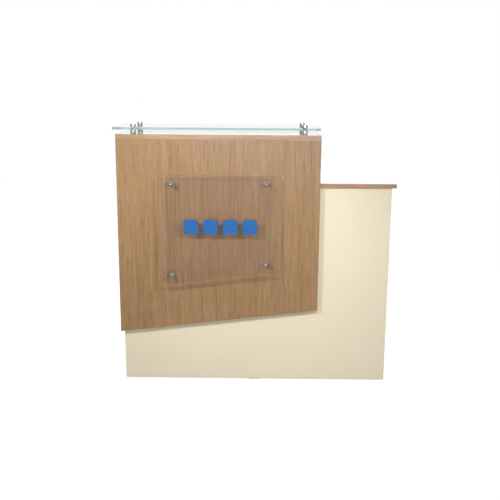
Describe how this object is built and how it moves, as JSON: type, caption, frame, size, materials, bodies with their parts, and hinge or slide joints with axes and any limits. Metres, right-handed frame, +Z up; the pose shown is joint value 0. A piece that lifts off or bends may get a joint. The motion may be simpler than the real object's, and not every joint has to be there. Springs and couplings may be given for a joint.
{
  "type": "shop counter",
  "caption": "Standing-height shop counter: board base with drawer and cupboard, slanted wood fascia, raised ledge under a glass shelf, and a blank clear sign plate.",
  "frame": {"origin": "on the floor under the middle of the counter's bounding box", "axes": "+X to the customer's right along the counter, +Y from the customer to the staff, +Z up"},
  "size_m": [1.2124, 0.67, 1.142],
  "materials": {
    "cream_board": "satin melamine",
    "wood_board": "satin wood-effect laminate",
    "hardboard": "matt",
    "beech": "plain",
    "glass": "clear, polished edges",
    "clear_acrylic": "clear",
    "clear_plastic": "clear",
    "blue_acrylic": "gloss",
    "chrome": "polished",
    "satin_steel": "satin",
    "zinc_steel": "zinc plated",
    "zinc_alloy": "die cast",
    "pad_plastic": "matt",
    "catch_plastic": "matt"
  },
  "bodies": {
    "counter": {"front_panel": "cream_board", "left_side_panel": "cream_board", "right_side_panel": "cream_board", "centre_partition": "cream_board", "bottom_panel": "cream_board", "rear_plinth": "cream_board", "adjustable_shelf": "cream_board", "shelf_pins": "zinc_steel", "worktop": "wood_board", "fascia_panel": "wood_board", "ledge_board": "wood_board", "ledge_left_side": "wood_board", "ledge_right_side": "wood_board", "ledge_divider": "wood_board", "glass_ledge": "glass", "glass_post_barrels": "chrome", "glass_post_caps": "chrome", "glass_post_studs": "zinc_steel", "glass_post_washers": "clear_plastic", "sign_plate": "clear_acrylic", "sign_post_barrels": "chrome", "sign_post_caps": "chrome", "sign_post_studs": "zinc_steel", "sign_post_washers": "clear_plastic", "sign_tiles": "blue_acrylic", "cam_locks": "zinc_alloy", "cam_bolts": "zinc_steel", "wood_dowels": "beech", "fascia_screws": "zinc_steel", "small_screws": "zinc_steel", "floor_pads": "pad_plastic", "floor_pad_nails": "zinc_steel", "runner_cabinet_members": "zinc_steel", "hinge_fixed_leaves": "zinc_steel", "hinge_pins": "zinc_steel", "catch_body": "catch_plastic", "lock_strike": "zinc_steel"},
    "runner_middles": {"runner_middle_members": "zinc_steel"},
    "drawer": {"drawer_front": "wood_board", "drawer_left_side": "cream_board", "drawer_right_side": "cream_board", "drawer_back": "cream_board", "drawer_bottom": "hardboard", "drawer_handle": "satin_steel", "drawer_handle_screws": "zinc_steel", "drawer_cam_locks": "zinc_alloy", "drawer_cam_bolts": "zinc_steel", "drawer_screws": "zinc_steel", "runner_drawer_members": "zinc_steel", "drawer_lock_body": "chrome", "drawer_lock_nut": "zinc_steel"},
    "lock": {"lock_plug": "chrome", "lock_cam": "zinc_steel"},
    "door": {"door_panel": "wood_board", "hinge_door_leaves": "zinc_steel", "door_screws": "zinc_steel", "door_handle": "satin_steel", "door_handle_screws": "zinc_steel", "catch_plate": "zinc_steel"}
  },
  "joints": [
    {"name": "drawer_slide", "type": "slide", "parent": "counter", "child": "drawer", "axis": [0, 1, 0], "range_m": [0, 0.4]},
    {"name": "runner_slide", "type": "slide", "parent": "counter", "child": "runner_middles", "axis": [0, 1, 0], "range_m": [0, 0.2]},
    {"name": "lock_turn", "type": "hinge", "parent": "drawer", "child": "lock", "pos_m": [0.29175, 0.303, 0.842], "axis": [0, -1, 0], "range_deg": [0, 90]},
    {"name": "door_swing", "type": "hinge", "parent": "counter", "child": "door", "pos_m": [0.56875, 0.3075, 0.3985], "axis": [0, 0, -1], "range_deg": [0, 110]}
  ],
  "couplings": [
    {"joint": "runner_slide", "follows": "drawer_slide", "ratio": 0.5}
  ]
}
